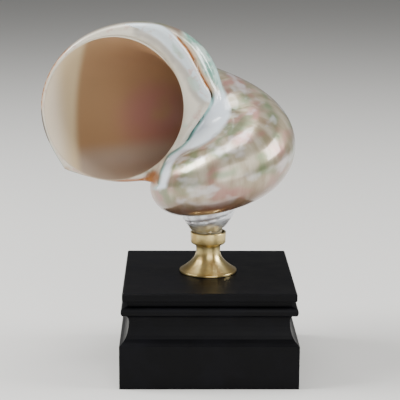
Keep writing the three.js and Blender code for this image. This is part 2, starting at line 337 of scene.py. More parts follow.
def body_distance(settings, points):
    """How far points of the shell's own frame are outside the whorls behind the mouth; negative inside."""
    reach = np.hypot(points[..., 0], points[..., 1])
    last = (np.arctan2(points[..., 1], points[..., 0]) - math.pi) % -TURN
    nearest = np.full(reach.shape, NO_WHORL)
    for number in range(3):
        angle = last - number * TURN
        scale = np.exp(settings.growth * angle)
        x = reach / scale
        z = points[..., 2] / scale
        z = z - CALLUS_FILL * np.exp(-((x / CALLUS_REACH) ** 2)) * (z > settings.tube_above_tip / MM)
        x = x - settings.tube_from_axis / MM
        z = z - settings.tube_above_tip / MM
        place = np.arctan2(z, x)
        distance = (np.hypot(x, z) - settings.tube_radius / MM * (1 + TUBE_OVAL * np.cos(2 * place))) * scale
        nearest = np.minimum(nearest, np.where(angle < BEHIND_FROM, distance, NO_WHORL))
    return nearest


def body_front(settings, section):
    """How far the whorl before stands ahead of the mouth's plane at each point of a flat section."""
    front = np.full(len(section), NOT_FOUND)
    before = np.full(len(section), NO_WHORL)
    for ahead in np.arange(LOOK_FROM, LOOK_TO, -LOOK_STEP):
        points = np.stack([-section[:, 0], np.full(len(section), -ahead), section[:, 1]], -1)
        distance = body_distance(settings, points)
        hit = (distance < 0) & (front == NOT_FOUND)
        share = before / np.maximum(before - distance, 1e-6)
        front = np.where(hit, ahead + LOOK_STEP * (1 - share), front)
        before = distance
    return front


def signed_distance(points, way):
    """Distance of flat points from a way, positive on its right side."""
    way = np.array(way)
    start, step = way[:-1], way[1:] - way[:-1]
    best = np.full(len(points), FARTHEST)
    signed = np.zeros(len(points))
    for a, along in zip(start, step):
        offset = points - a
        share = np.clip(offset @ along / (along @ along), 0, 1)
        gap = np.linalg.norm(offset - share[:, None] * along, axis=1)
        side = np.sign(offset[:, 0] * along[1] - offset[:, 1] * along[0])
        nearer = gap < best - 1e-9
        best = np.where(nearer, gap, best)
        signed = np.where(nearer, gap * side, signed)
    return signed


def skin(name, rows, growth, mouth, materials, material_index=0):
    """Reshapes a sphere's rings into a closed skin through rows of points.

    growth and mouth hold two values for each point, or for all of them, kept as UV maps for the materials.
    """
    rows = np.asarray(rows)
    count = len(rows)
    deselect()
    bpy.ops.mesh.primitive_uv_sphere_add(segments=AROUND, ring_count=count + 1, radius=1)
    piece = bpy.context.object
    piece.name = name
    mesh = piece.data
    points = read(mesh.vertices, "co", float, 3).reshape(-1, 3)
    polar = np.arccos(np.clip(points[:, 2], -1, 1))
    row = np.rint(polar / (math.pi / (count + 1))).astype(int) - 1
    column = np.rint(np.arctan2(points[:, 1], points[:, 0]) / TURN * AROUND).astype(int) % AROUND
    inner = np.clip(row, 0, count - 1)
    placed_points = rows[inner, column]
    placed_points[row < 0] = rows[0].mean(0)
    placed_points[row >= count] = rows[-1].mean(0)
    mesh.vertices.foreach_set("co", placed_points.ravel())
    corners = read(mesh.loops, "vertex_index")
    while mesh.uv_layers:
        mesh.uv_layers.remove(mesh.uv_layers[0])
    corner_row, corner_column = inner[corners], column[corners]
    for title, values in (("growth", growth), ("mouth", mouth)):
        layer = mesh.uv_layers.new(name=title)
        values = np.broadcast_to(values, (count, AROUND, 2))
        data = values[corner_row, corner_column].astype(np.float32)
        if title == "growth":
            data = unwrapped(mesh, data)
        layer.data.foreach_set("uv", data.ravel())
    for material in materials:
        mesh.materials.append(material)
    mesh.polygons.foreach_set("material_index", np.full(len(mesh.polygons), material_index))
    mesh.transform(stand_matrix())
    activate(piece)
    bpy.ops.object.mode_set(mode="EDIT")
    bpy.ops.mesh.select_all(action="SELECT")
    bpy.ops.mesh.normals_make_consistent(inside=False)
    bpy.ops.object.mode_set(mode="OBJECT")
    return piece


def unwrapped(mesh, data):
    """Lets the place round the section run on past a full turn on the faces that close the ring."""
    data = data.copy()
    for first, total in zip(read(mesh.polygons, "loop_start"), read(mesh.polygons, "loop_total")):
        part = data[first:first + total, 1]
        if part.max() - part.min() > 0.5:
            part[part < 0.5] += 1
    return data


def growth_row(angle):
    """Values of the growth map along one ring: the angle and the place round the section."""
    return np.stack([np.full(AROUND, angle), PLACES / TURN], -1)


def whorl(settings, start, end, rows, materials):
    """One closed piece of the tube."""
    points, growth = [], []
    for angle in np.linspace(start, end, rows):
        points.append(placed(off_axis(outside(settings, angle)), angle))
        growth.append(growth_row(angle))
    return skin("whorl", points, growth, FAR, materials)


def wall_weight(settings):
    """How thick the mouth's wall is round the section: 0 at the outer lip, 1 beside the axis."""
    wall = np.linalg.norm(outside(settings, 0) - throat(settings, 0), axis=1)
    return smoothstep(wall, THIN_WALL, THICK_WALL)


def fissure_share(edge, hollow):
    """Share of the wall, from the outside, at which the fissure crosses it, and how surely it does."""
    steps = np.linspace(0.04, 0.96, 93)
    share = np.full(AROUND, 0.4)
    sure = np.zeros(AROUND)
    for i in range(AROUND):
        line = edge[i] + (hollow[i] - edge[i]) * steps[:, None]
        gap = np.abs(signed_distance(line, FISSURE))
        if gap.min() < 0.8:
            share[i] = steps[gap.argmin()]
            sure[i] = 1
    inside = np.flatnonzero(sure)
    share = np.interp(np.arange(AROUND), inside, share[inside])
    for _ in range(2):
        share = (np.roll(share, 1) + 2 * share + np.roll(share, -1)) / 4
        sure = (np.roll(sure, 1) + 2 * sure + np.roll(sure, -1)) / 4
    return share, sure


def flap_rounding(settings):
    """How deep the face's outer edge is rounded."""
    return LIP_ROUNDING + FLAP_ROUNDING * wall_weight(settings)


def mouth_face(settings):
    """The outer and inner edge of the mouth's face, and its wall's thickness, its weight and its groove."""
    edge = outside(settings, 0, RIM_RISE)
    hollow = throat(settings, 0, -RIM_OVERLAP)
    wall = np.linalg.norm(edge - hollow, axis=1)
    groove, sure = fissure_share(edge, hollow)
    return edge, hollow, wall, wall_weight(settings), groove, sure


def face_share(groove, row):
    """Share of the wall at a row of the face: rows 0 to 1 are on the flap, rows 1 to 2 on the inner lip."""
    return groove * row if row <= 1 else groove + (1 - groove) * (row - 1)


def face_height(settings, share, wall, weight, groove, sure):
    """How far a ring of the face stands ahead of the mouth's plane, before it meets the whorl before, and how
    deep the groove cuts into it."""
    rounding = np.minimum(flap_rounding(settings), wall * 0.6)
    over = np.clip(1 - share * wall / rounding, 0, 1)
    round_out = rounding * (1 - np.sqrt(1 - over ** 2))
    inner = np.minimum(LIP_ROUNDING + 2.2 * weight, wall / 2)
    over = np.clip(1 - (1 - share) * wall / inner, 0, 1)
    round_in = inner * (1 - np.sqrt(1 - over ** 2))
    off = (share - groove) * wall
    on_flap = off < 0
    part = np.clip(np.where(on_flap, -off / (groove * wall), off / ((1 - groove) * wall)), 0, 1)
    flap = -0.5 - CALLUS_SLOPE * part ** 1.2
    lip = INNER_LIP_RISE * np.sin(math.pi * np.minimum(1, 1.1 * part)) ** 0.7
    for way, (height, place, width) in ((1, LIP_RIDGE), (-1, LIP_DIP)):
        lip = lip + way * height * np.exp(-((off - place) / width) ** 2)
    height, steps = FLAP_RIPPLES
    ripple = height * np.sin(off * steps + 2 * np.sin(3 * PLACES)) * np.clip(-off / 2, 0, 1)
    pinch = GROOVE_DEPTH * np.exp(-(off / np.where(on_flap, *GROOVE_WIDTHS)) ** 2)
    body = weight * np.where(on_flap, flap + ripple, lip) - round_out - round_in
    return body, weight * sure * pinch


def mouth_collar(settings, materials):
    """The face round the mouth, with the collar behind it, as one closed piece."""
    edge, hollow, wall, weight, groove, sure = mouth_face(settings)
    behind = flap_rounding(settings) + CALLUS_SLOPE * weight
    middle = np.array([settings.tube_from_axis, settings.tube_above_tip]) / MM
    points, growth, mouth = [], [], []
    for depth in np.linspace(COLLAR_DEPTH, RIM_OVERLAP, COLLAR_ROWS):
        angle = -depth / (settings.tube_from_axis / MM)
        bend = np.array([math.cos(angle), 1]) * math.exp(settings.growth * angle)
        section = (edge - middle) * (1 - COLLAR_TAPER * depth / COLLAR_DEPTH) + middle * bend
        points.append(placed(section, 0, -depth - behind * (1 - depth / COLLAR_DEPTH)))
        growth.append(growth_row(angle))
        mouth.append(np.stack([-signed_distance(section, FISSURE), section[:, 1] / 100], -1))
    half = np.linspace(0, 1, FACE_ROWS // 2)
    spread = 0.5 * half + 0.25 * (1 - np.cos(math.pi * half))
    sections, levels, rises = [], [], []
    for row in np.concatenate([spread, 1 + spread[1:]]):
        share = face_share(groove, row)
        section = edge + (hollow - edge) * share[:, None]
        ahead, pinch = face_height(settings, share, wall, weight, groove, sure)
        front = body_front(settings, section)
        # Where the whorl before comes near, the face flows onto it, and beyond that it runs on inside it.
        over = np.clip(front - ahead, 0, None)
        blend = np.clip(CALLUS_BLEND - np.abs(ahead - front), 0, None) ** 2 / (4 * CALLUS_BLEND)
        sunk = 0.1 * np.clip(over / CALLUS_BLEND, 0, 1) + 0.4 * np.clip(over - CALLUS_BLEND, 0, 6)
        sections.append(section)
        levels.append(ahead - pinch * (1 - 0.8 * np.clip(over / 2, 0, 1)))
        rises.append(over + blend - sunk)
        growth.append(growth_row(0.0))
        mouth.append(np.stack([(share - groove) * wall, section[:, 1] / 100], -1))
    rises = np.array(rises)
    for _ in range(CALLUS_SMOOTHING):
        rises = (np.roll(rises, 1, 1) + 2 * rises + np.roll(rises, -1, 1)) / 4
        rises[1:-1] = (rises[:-2] + 2 * rises[1:-1] + rises[2:]) / 4
    points += [placed(section, 0, level + rise) for section, level, rise in zip(sections, levels, rises)]
    return skin("mouth_collar", points, growth, mouth, materials)


def mouth_space(settings, materials):
    """The space ahead of the mouth's face, which keeps the tube behind the face."""
    edge, hollow, wall, weight, groove, sure = mouth_face(settings)
    around = outside(settings, 0, SPACE_WIDER)
    behind = flap_rounding(settings) + 0.8 + CALLUS_SLOPE * weight
    points = [placed(around, 0, SPACE_AHEAD), placed(around, 0, -behind)]
    for row in np.linspace(0, 2, SPACE_ROWS):
        share = face_share(groove, row)
        ahead = np.subtract(*face_height(settings, share, wall, weight, groove, sure)) - SPACE_UNDER
        points.append(placed(edge + (hollow - edge) * share[:, None], 0, ahead))
    return skin("mouth_space", points, 0.0, FAR, materials)


def add_front_map(piece):
    """Keeps, for the materials, how far each point is from the callus' edge and how deep behind the mouth.

    Points off the mouth's plane are carried onto it along the line of sight from the front.
    """
    mesh = piece.data
    back = stand_matrix().inverted()
    turn = np.array(back.to_3x3())
    points = read(mesh.vertices, "co", float, 3).reshape(-1, 3) @ turn.T + np.array(back.translation)
    eye = np.array(back @ (Vector(FRONT) * MM))
    share = eye[1] / (eye[1] - points[:, 1])
    seen = eye + (points - eye) * share[:, None]
    flat = np.stack([-seen[:, 0], seen[:, 2]], -1)
    corners = read(mesh.loops, "vertex_index")
    for title, first, second in (
        ("callus", signed_distance(flat, CALLUS_EDGE), -points[:, 1]),
        ("ridge", signed_distance(flat, RIDGE_EDGE), flat[:, 1]),
        ("fissure", signed_distance(flat, FISSURE), flat[:, 0]),
    ):
        layer = mesh.uv_layers.new(name=title)
        layer.data.foreach_set("uv", np.stack([first, second], -1)[corners].astype(np.float32).ravel())


def spire(settings, materials):
    """The last visible whorl of the spire: one closed smooth cone with a suture winding down it."""
    way = np.array(SPIRE)
    heights = np.interp(np.linspace(0, 1, SPIRE_ROWS), np.linspace(0, 1, len(way)), way[:, 1])
    points, growth = [], []
    for height in heights:
        radius = np.interp(height, way[:, 1], way[:, 0])
        shift = np.interp(height, way[:, 1], way[:, 2])
        phase = (math.log(max(height, 0.5) / SUTURE_HEIGHT) / settings.growth - PLACES) % TURN
        seam = np.minimum(phase, TURN - phase)
        swell = SPIRE_SWELL[0] * np.exp(-(((phase - SWELL_PLACE) / SPIRE_SWELL[1]) ** 2))
        swell = swell - SPIRE_SUTURE[0] * np.exp(-((seam / SPIRE_SUTURE[1]) ** 2))
        radius = radius * (1 + swell)
        x = radius * np.cos(PLACES) + SPIRE_WAY[0] * shift
        y = radius * np.sin(PLACES) + SPIRE_WAY[1] * shift
        points.append(np.stack([x, y, np.full(AROUND, height)], -1))
        growth.append(np.stack([SPIRE_TURN + PLACES / 4, SPIRE_PLACE + SPIRE_SPREAD * phase / TURN], -1))
    return skin("spire", points, growth, FAR, materials)


def throat_cutter(settings, materials):
    """The hollow of the tube, which ends a little ahead of the mouth."""
    points, growth = [], []
    for angle in np.linspace(-THROAT_TURNS * TURN, 0, THROAT_ROWS):
        points.append(placed(throat(settings, angle), angle))
        growth.append(growth_row(angle))
    points.append(placed(throat(settings, 0, THROAT_WIDER), 0, THROAT_AHEAD))
    growth.append(growth_row(0.1))
    return skin("throat", points, growth, FAR, materials, 1)


def cylinder(radius, bottom, top, segments=96):
    deselect()
    bpy.ops.mesh.primitive_cylinder_add(
        vertices=segments, radius=radius, depth=top - bottom, location=(0, 0, (top + bottom) / 2))
    piece = bpy.context.object
    bpy.ops.object.transform_apply(location=True, rotation=True, scale=True)
    return piece


def curve(*handles, steps=14):
    """Points along a smooth curve that the handles between its ends pull to them, without the first one."""
    points = []
    for share in np.linspace(0, 1, steps + 1)[1:]:
        row = np.array(handles, float)
        while len(row) > 1:
            row = row[:-1] * (1 - share) + row[1:] * share
        points.append(tuple(row[0]))
    return points


def cup_profile(settings):
    """Radius and height in metres of the brass cup's rings, from under its stud to its hollow's floor."""
    foot, neck, cup = settings.foot_radius / MM, settings.neck_radius / MM, settings.cup_radius / MM
    bottom, top = CUP_HEIGHTS
    edge = bottom + FOOT_EDGE
    profile = [
        (STUD_RADIUS, bottom - STUD_LENGTH), (STUD_RADIUS, bottom), (foot, bottom), (foot, edge - 0.3)]
    profile += curve((foot, edge - 0.3), (foot, edge), (foot - 0.3, edge), steps=4)
    profile += curve((foot - 0.3, edge), (8.8, edge + 2.4), (neck, NECK_HEIGHT - 3.6), (neck, NECK_HEIGHT))
    profile += curve((neck, NECK_HEIGHT), (neck, CUP_UNDERSIDE - 0.5), (neck + 0.5, CUP_UNDERSIDE))
    profile += curve(
        (neck + 0.5, CUP_UNDERSIDE), (cup - 0.4, CUP_UNDERSIDE + 0.3), (cup - 0.1, CUP_UNDERSIDE + 1.2))
    profile += [(cup, top - 0.3)] + curve((cup, top - 0.3), (cup, top), (cup - 0.3, top), steps=4)
    profile += [(cup - CUP_WALL, top), (cup - CUP_WALL, top - CUP_DEPTH)]
    return [(radius * MM, height * MM) for radius, height in profile]


def turned(name, profile):
    """A turned piece, drawn up ring after ring from its lowest face."""
    radius, height = profile[0]
    deselect()
    bpy.ops.mesh.primitive_circle_add(
        vertices=CUP_SEGMENTS, radius=radius, fill_type="NGON", location=(0, 0, height))
    piece = bpy.context.object
    piece.name = name
    bpy.ops.object.transform_apply(location=True, rotation=True, scale=True)
    bpy.ops.object.mode_set(mode="EDIT")
    bpy.ops.mesh.select_all(action="SELECT")
    for next_radius, next_height in profile[1:]:
        bpy.ops.mesh.extrude_region_move(TRANSFORM_OT_translate={"value": (0, 0, next_height - height)})
        share = next_radius / radius
        bpy.ops.transform.resize(value=(share, share, 1), center_override=(0, 0, next_height))
        radius, height = next_radius, next_height
    bpy.ops.mesh.select_all(action="SELECT")
    bpy.ops.mesh.normals_make_consistent(inside=False)
    bpy.ops.object.mode_set(mode="OBJECT")
    bpy.ops.object.shade_smooth_by_angle(angle=SMOOTH_ANGLE)
    return piece


def node(tree, kind, inputs=(), out=0, **settings):
    """Adds a shader node, sets it, feeds it with values or links, and gives one output, or all for None.

    Inputs are given in their order or by key. MapRange fades from 0 at its second input to 1 at its third.
    Mix takes its share as 0 and its colours as 6 and 7, and gives the mixed colour as 2.
    """
    made = tree.nodes.new("ShaderNode" + kind)
    for key, value in {**NODE_SETTINGS.get(kind, {}), **settings}.items():
        setattr(made, key, value)
    for key, value in inputs.items() if isinstance(inputs, dict) else enumerate(inputs):
        if isinstance(value, bpy.types.NodeSocket):
            tree.links.new(value, made.inputs[key])
        else:
            made.inputs[key].default_value = value
    return made.outputs if out is None else made.outputs[out]


def material(name):
    """Makes an empty material, and gives it with the function that adds nodes to it."""
    made = bpy.data.materials.new(name)
    made.use_nodes = True
    made.node_tree.nodes.clear()
    return made, partial(node, made.node_tree)


def finish_material(add, inputs):
    shader = add("BsdfPrincipled", inputs)
    add("OutputMaterial", [shader], None)


def painted(add, tint, code, *masks):
    """Lays a colour over a tint where all the masks hold. A mask is a node's output or a plain share."""
    strength = masks[0]
    for mask in masks[1:]:
        strength = add("Math", [strength, mask], operation="MULTIPLY")
    return add("Mix", {0: strength, 6: tint, 7: colour(code)}, 2)


def band(add, value, low, high, soft):
    """1 between low and high, fading over soft at both ends."""
    rising = add("MapRange", [value, low - soft, low + soft])
    falling = add("MapRange", [value, high + soft, high - soft])
    return add("Math", [rising, falling], operation="MULTIPLY")


def away(add, at, spot):
    """Distance of a place on the mouth's plane from a spot."""
    squares = []
    for value, middle in zip((at.aside, at.height), spot):
        side = add("Math", [value, middle], operation="SUBTRACT")
        squares.append(add("Math", [side, side], operation="MULTIPLY"))
    return add("Math", [add("Math", squares, operation="ADD")], operation="SQRT")


def front_places(add):
    """The values that add_front_map keeps, in millimetres.

    callus, ridge and fissure are distances from those edges, ahead is how far ahead of the mouth's plane,
    height is above the tip and aside is from the coiling axis.
    """
    at = SimpleNamespace()
    for title, second in (("callus", "ahead"), ("ridge", "height"), ("fissure", "aside")):
        parts = add("SeparateXYZ", [add("UVMap", uv_map=title)], None)
        setattr(at, title, parts[0])
        setattr(at, second, parts[1])
    return at


def lustre(add):
    """Colour of the nacre and its fine growth lines.

    It gives the eye a silver cream with pink, green and silver patches drawn out along the whorls, brown
    below, partly the nacre's own brown by the sutures and partly painted shade, and a paler spire with a
    painted golden reflection of the brass cup near its foot.
    """
    angle, place, _ = add("SeparateXYZ", [add("UVMap", uv_map="growth")], None)
    turn = add("Math", [place, TURN], operation="MULTIPLY")
    up = add("Math", [turn], operation="SINE")
    out = add("Math", [turn], operation="COSINE")
    patch, streak, line = (
        add("CombineXYZ", [add("Math", [angle, steps], operation="MULTIPLY"), out, up])
        for steps in NACRE_STEPS)
    streaks = add("TexNoise", {"Vector": streak, "Scale": 1.3, "Detail": 3.0})
    tint = painted(add, colour("#928468"), "#beb49e", add("MapRange", [streaks, 0.3, 0.7]))
    for shift, scale, detail, low, high, code, share in NACRE_PATCHES:
        vector = add("VectorMath", [patch, shift], operation="ADD")
        patches = add("TexNoise", {"Vector": vector, "Scale": scale, "Detail": detail})
        tint = painted(add, tint, code, add("MapRange", [patches, low, high]), share)
    # Browner towards the undersides of the whorls: partly the nacre's own brown by the sutures, partly
    # painted shade.
    tint = painted(add, tint, "#805a42", add("MapRange", [up, 0.1, -0.75]), 0.85)
    fine = add("TexNoise", {"Vector": line, "Scale": 1.0})
    lines = add("Mix", {0: fine, 6: colour("#6e665f"), 7: colour("#f4efe8")}, 2)
    tint = add("Mix", {0: 0.12, 6: tint, 7: lines}, 2, blend_type="SOFT_LIGHT")

    # The spire is paler, blue-white, with a painted golden reflection of the brass cup just above the cup.
    # Its edges are heights in metres.
    point = add("TexCoord", out="Object")
    level = add("SeparateXYZ", [point], 2)
    clouds = add("TexNoise", {"Vector": point, "Scale": 90})
    wavy = add("Math", [clouds, 0.008], operation="MULTIPLY")
    # Painted reflection of the brass cup: gold on the spire's lowest part, fading upwards.
    brass_reflection = add("MapRange", [add("Math", [wavy, level], operation="ADD"), 0.0705, 0.0665])
    clouds = add("TexNoise", {"Vector": streak, "Scale": 2.0})
    pale = painted(add, colour("#a9a4ab"), "#e9eef4", add("MapRange", [clouds, 0.35, 0.6]))
    pale = painted(add, pale, "#b3a572", brass_reflection, 0.75)
    low = add("Math", [add("MapRange", [level, 0.0725, 0.0705]), 0.85], operation="MULTIPLY")
    tint = add("Mix", {0: low, 6: tint, 7: pale}, 2)

    # Creases where the growth of the whorl once stopped.
    wander = add("Math", [add("TexNoise", {"Vector": patch, "Scale": 3.0}), 0.5], operation="SUBTRACT")
    wobble = add("Math", [wander, 0.35], operation="MULTIPLY")
    along = add("Math", [angle, wobble], operation="ADD")
    crease = 0.0
    for at, width in CREASES:
        off = add("Math", [add("Math", [along, at], operation="SUBTRACT")], operation="ABSOLUTE")
        crease = add("Math", [crease, add("MapRange", [off, width * 2, 0.0])], operation="ADD")
    deep = add("Math", [crease, 2.5], operation="MULTIPLY")
    return tint, add("Math", [fine, deep], operation="SUBTRACT")


def across_fissure(add, at):
    """Distance across the fissure, positive on the inner lip, and where the inner lip doesn't reach."""
    across = add("SeparateXYZ", [add("UVMap", uv_map="mouth")])
    # On the whorl before, the lower end of the fissure and of the inner lip is laid out as seen from ahead.
    whorl_before = add("MapRange", [across, FAR - 10, FAR - 9])
    there = add("Math", [band(add, at.height, 26.0, 50.0, 1.0), band(add, at.aside, 6.0, 27.0, 1.0)],
                operation="MULTIPLY")
    there = add("Math", [there, add("MapRange", [at.ahead, -6.0, -4.0])], operation="MULTIPLY")
    rest = add("Math", [1.0, there], operation="SUBTRACT")
    elsewhere = add("Math", [whorl_before, rest], operation="MULTIPLY")
    lower = add("Math", [add("MapRange", [at.height, 50.0, 47.5]), add("MapRange", [at.aside, 27.0, 25.0])],
                operation="MULTIPLY")
    lower = add("Math", [whorl_before, lower], operation="MAXIMUM")
    seen = add("Math", [at.fissure, -1.0], operation="MULTIPLY")
    return add("Mix", {0: lower, 2: across, 3: seen}, data_type="FLOAT"), elsewhere


def callus_colours(add, at):
    """Where the callus is, and its colour: a blue-white strip below and a mottled teal flap above."""
    edge = add("Math", [at.callus, add("Math", [at.warp, 0.5], operation="MULTIPLY")], operation="ADD")
    near = add("MapRange", [edge, 1.2, -1.0])
    for value, low, high in ((at.callus, -16.0, -12.0), (at.ahead, -13.0, -5.0), (at.height, 23.8, 25.6)):
        near = add("Math", [near, add("MapRange", [value, low, high])], operation="MULTIPLY")
    above = add("MapRange", [add("Math", [at.height, at.warp], operation="ADD"), 60.0, 67.0])
    teal = painted(add, colour("#6da08f"), "#b7cdc3", add("MapRange", [at.blotch, 0.4, 0.62]))
    beyond = add("MapRange", [add("Math", [at.fissure, at.warp], operation="ADD"), 1.0, 4.0])
    flap = add("Mix", {0: beyond, 6: colour("#cdbda4"), 7: teal}, 2)
    flap = painted(add, flap, "#b9d8d2", add("MapRange", [edge, -2.6, -1.4]))
    strip = painted(add, colour(CALLUS_WHITE), "#98c6c4", add("MapRange", [at.fissure, 1.6, 0.4]))
    return near, add("Mix", {0: above, 6: strip, 7: flap}, 2)


def lip_colours(add, at):
    """The cream inner lip with rosy and mint blotches, a grey band of painted shade in the valley, and the
    pale ridge beside the fissure.
    """
    # Painted shade: grey-taupe in the valley between the cream lip and the pale ridge.
    valley_shade = add("MapRange", [add("Math", [at.ridge, at.warp], operation="ADD"), -4.5, -1.5])
    lip = painted(add, colour("#ddd5c2"), "#aaa396", valley_shade)
    wavy = add("Math", [at.ridge, add("Math", [at.warp, 0.4], operation="MULTIPLY")], operation="ADD")
    lip = painted(add, lip, "#d3dfe4", add("MapRange", [wavy, -1.0, 0.6]))
    lip = painted(add, lip, "#d3cbb9", add("MapRange", [at.height, 64.0, 56.0]), 0.85)
    rosy = add("MapRange", [at.blotch, 0.52, 0.66])
    lip = painted(add, lip, "#c9a397", rosy, band(add, at.across, 1.5, 5.0, 1.0), 0.7)
    mint = add("MapRange", [at.wide, 0.52, 0.62])
    return painted(add, lip, "#a8c2b0", mint, band(add, at.across, 3.0, 6.5, 1.0), 0.7)


def fissure_colours(add, tint, at):
    """The fissure: orange above, nearly black at its corner, a thin teal line below."""
    outside_lip = add("Math", [at.elsewhere, FAR], operation="MULTIPLY")
    gap = add("Math", [add("Math", [at.across], operation="ABSOLUTE"), outside_lip], operation="ADD")
    halo = add("MapRange", [gap, 2.6, 0.3])
    tint = painted(add, tint, "#cf9f78", halo, band(add, at.height, 65.0, 86.0, 4.0), 0.45)
    line = add("MapRange", [gap, 0.8, 0.2])
    streaks = add("MapRange", [add("TexNoise", {"Vector": at.point, "Scale": 420}), 0.35, 0.6])
    broken = add("Math", [streaks, 0.3], operation="ADD", use_clamp=True)
    tint = painted(add, tint, "#b1753c", line, band(add, at.height, 66.0, 91.0, 2.0), broken)
    tint = painted(add, tint, "#43301c", line, band(add, at.height, 51.0, 66.0, 1.5))
    below = add("MapRange", [at.height, 51.5, 49.0])
    return painted(add, tint, FISSURE_TEAL, add("MapRange", [gap, 0.7, 0.1]), below, 0.85)


def stained(add, tint, at):
    """The stained corners of the mouth and the brown rim under its lower lip."""
    for spot, reach, core, code, share in STAINS:
        tint = painted(add, tint, code, add("MapRange", [away(add, at, spot), reach, core]), share)
    middle = add("Math", [at.aside, 28.0], operation="SUBTRACT")
    square = add("Math", [middle, middle], operation="MULTIPLY")
    sag = add("Math", [square, 0.0097], operation="MULTIPLY")
    above = add("Math", [add("Math", [at.height, 29.2], operation="SUBTRACT"), sag], operation="SUBTRACT")
    masks = [add("MapRange", values) for values in (
        [above, 2.0, 0.8], [at.aside, 66.0, 38.0], [at.aside, 22.0, 26.0], [at.ahead, -8.0, -5.0])]
    return painted(add, tint, "#a2601f", *masks, 0.95)


def nacre_material():
    """Polished mother-of-pearl.

    It gives the eye a metallic lustre with soft streaks of light along the whorls under a clear gloss, and
    round the mouth the cream lip, the brown fissure, the blue-white callus and the teal flap.
    """
    made, add = material("polished mother-of-pearl")
    tint, fine = lustre(add)
    at = front_places(add)
    # Blotches about 4 mm wide, wider ones of 8 mm, and the wander that they give to every edge.
    at.point = add("TexCoord", out="Object")
    at.blotch = add("TexNoise", {"Vector": at.point, "Scale": 260, "Detail": 3.0, "Roughness": 0.6})
    at.wide = add("TexNoise", {"Vector": at.point, "Scale": 120})
    at.warp = add("Math", [add("Math", [at.wide, 0.5], operation="SUBTRACT"), 5.0], operation="MULTIPLY")
    at.across, at.elsewhere = across_fissure(add, at)

    # The outer lip is cream a little way round its edge.
    outer = add("MapRange", [at.callus, -13.0, -17.0])
    tint = painted(add, tint, "#ddd2c0", band(add, at.ahead, -3.0, 3.0, 1.5), outer)
    near, callus = callus_colours(add, at)
    tint = add("Mix", {0: near, 6: tint, 7: callus}, 2)
    inner = band(add, at.across, 0.0, FAR - 10, 0.25)
    inner = add("Math", [inner, at.elsewhere], operation="SUBTRACT", use_clamp=True)
    tint = add("Mix", {0: inner, 6: tint, 7: lip_colours(add, at)}, 2)
    tint = stained(add, fissure_colours(add, tint, at), at)

    # The lip and the callus lack the metallic lustre.
    face = add("Math", [near, inner], operation="MAXIMUM")
    lustrous = add("Math", [1.0, face], operation="SUBTRACT")
    finish_material(add, {
        "Base Color": tint, "Roughness": 0.3, "Specular IOR Level": 0.6,
        "Coat Weight": 0.9, "Coat Roughness": 0.05,
        "Normal": add("Bump", {"Strength": 0.06, "Distance": 0.0004, "Height": fine}),
        "Metallic": add("Math", [lustrous, 0.5], operation="MULTIPLY"),
        "Anisotropic": add("Math", [lustrous, 0.75], operation="MULTIPLY"),
        "Tangent": add("Tangent", direction_type="UV_MAP", uv_map="growth"),
    })
    return made


def throat_material():
    """Satin inside of the tube: a cream band along the outer lip, partly painted light on that lit wall, then
    tan deeper in, partly painted shade, rosy beside the axis.
    """
    made, add = material("satin throat")
    at = front_places(add)
    point = add("TexCoord", out="Object")
    over = add("Math", [add("Math", [at.height, 50.0], operation="SUBTRACT"), 0.0], operation="MAXIMUM")
    square = add("Math", [over, over], operation="MULTIPLY")
    bend = add("Math", [square, 0.0043], operation="MULTIPLY")
    beyond = add("Math", [add("Math", [at.aside, 54.7], operation="SUBTRACT"), bend], operation="ADD")
    # Tan: partly the throat's own colour, partly painted shade deeper in the tube.
    tan = painted(add, colour("#b08a68"), "#ae8c68", add("MapRange", [at.aside, 20.0, 52.0]))
    rosy = add("MapRange", [away(add, at, (20.0, 57.0)), 22.0, 6.0])
    clouds = add("MapRange", [add("TexNoise", {"Vector": point, "Scale": 45}), 0.35, 0.6])
    tan = painted(add, tan, "#b27b73", rosy, clouds, 0.8)
    tan = painted(add, tan, "#bdb0a3", add("MapRange", [at.height, 50.0, 40.0]), 0.8)
    # Cream: partly the lip's own colour, partly painted light on the inner wall of the outer lip.
    cream = painted(add, colour("#e4d0a8"), "#efe2cb", add("MapRange", [at.aside, 56.0, 64.0]))
    tint = add("Mix", {0: add("MapRange", [beyond, -1.8, 2.2]), 6: tan, 7: cream}, 2)
    tint = painted(add, tint, "#ddd0bb", add("MapRange", [at.ahead, -2.2, -0.6]))
    # Where the lip climbs onto the whorl before, the fissure and the callus cross its inner wall.
    climbed = add("MapRange", [at.ahead, 0.0, 1.0])
    tint = painted(add, tint, CALLUS_WHITE, climbed, add("MapRange", [at.fissure, 0.2, 0.8]))
    off = add("Math", [at.fissure], operation="ABSOLUTE")
    tint = painted(add, tint, FISSURE_TEAL, climbed, add("MapRange", [off, 0.7, 0.1]), 0.85)
    finish_material(add, {"Base Color": tint, "Roughness": 0.34, "Coat Weight": 0.35, "Coat Roughness": 0.15})
    return made


def brass_material():
    """Aged satin brass: fine turning lines draw the light out round the piece, and it is dull in patches."""
    made, add = material("aged satin brass")
    point = add("TexCoord", out="Object")
    # Turning lines about half a millimetre apart, and dull patches about 7 mm wide.
    level = add("CombineXYZ", {2: add("SeparateXYZ", [point], 2)})
    rings = add("TexNoise", {"Vector": level, "Scale": 2200})
    dull = add("TexNoise", {"Vector": point, "Scale": 140, "Detail": 3.0, "Roughness": 0.6})
    tint = painted(add, colour("#decb94"), "#bda36c", add("MapRange", [dull, 0.35, 0.7]))
    lines = add("Mix", {0: rings, 6: colour("#5a4c30"), 7: colour("#efe3c2")}, 2)
    finish_material(add, {
        "Base Color": add("Mix", {0: 0.25, 6: tint, 7: lines}, 2, blend_type="SOFT_LIGHT"),
        "Metallic": 1.0,
        "Roughness": add("Math", [add("Math", [dull, 0.15], operation="MULTIPLY"), 0.24], operation="ADD"),
        "Anisotropic": 0.6, "Anisotropic Rotation": 0.25,
        "Tangent": add("Tangent", direction_type="RADIAL", axis="Z"),
        "Normal": add("Bump", {"Strength": 0.1, "Distance": 0.0002, "Height": rings}),
    })
    return made


